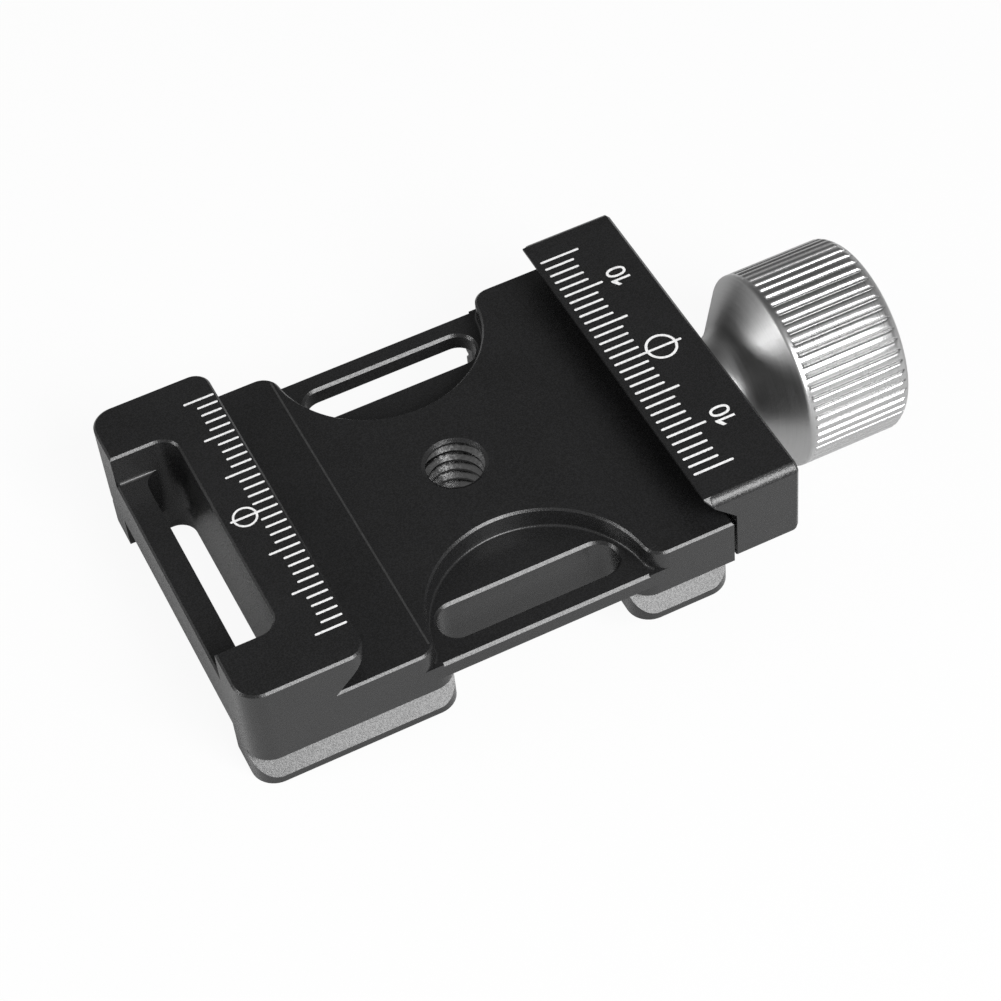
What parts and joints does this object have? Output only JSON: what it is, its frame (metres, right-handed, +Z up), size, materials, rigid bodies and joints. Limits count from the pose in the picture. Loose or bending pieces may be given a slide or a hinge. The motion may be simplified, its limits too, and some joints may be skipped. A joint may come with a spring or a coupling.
{
  "type": "dovetail quick release clamp",
  "caption": "Dovetail clamp for camera plates: a milled body with a fixed jaw, a jaw moved by a knurled knob, a threaded centre hole, strap slots and side rails.",
  "frame": {"origin": "axis of the camera screw hole at the flat underside", "axes": "+X from the fixed jaw to the knob, Y along the jaws, +Z up out of the channel"},
  "size_m": [0.0703, 0.037, 0.0192],
  "materials": {
    "black_anodised": "black anodised, fine blasted",
    "clear_anodised": "clear anodised, satin",
    "steel": "turned",
    "nylon": "plain"
  },
  "bodies": {
    "base": {"body": "black_anodised", "return_spring_front": "steel", "return_spring_back": "steel"},
    "jaw": {"moving_jaw": "black_anodised", "guide_pin_front": "steel", "guide_pin_back": "steel", "friction_washer": "nylon", "thrust_washer": "steel"},
    "knob_and_screw": {"knob": "clear_anodised", "clamp_screw": "steel", "lock_washer": "steel", "knob_fixing_screw": "steel"}
  },
  "joints": [
    {"name": "jaw_slide", "type": "slide", "parent": "base", "child": "jaw", "axis": [1, 0, 0], "range_m": [-0.00025, 0.005]},
    {"name": "knob_turn", "type": "hinge", "parent": "jaw", "child": "knob_and_screw", "pos_m": [0.0334, 0, 0.0038], "axis": [1, 0, 0], "range_deg": [-113, 2251]}
  ],
  "couplings": [
    {"joint": "knob_turn", "follows": "jaw_slide", "rad_per_m": 7854}
  ]
}
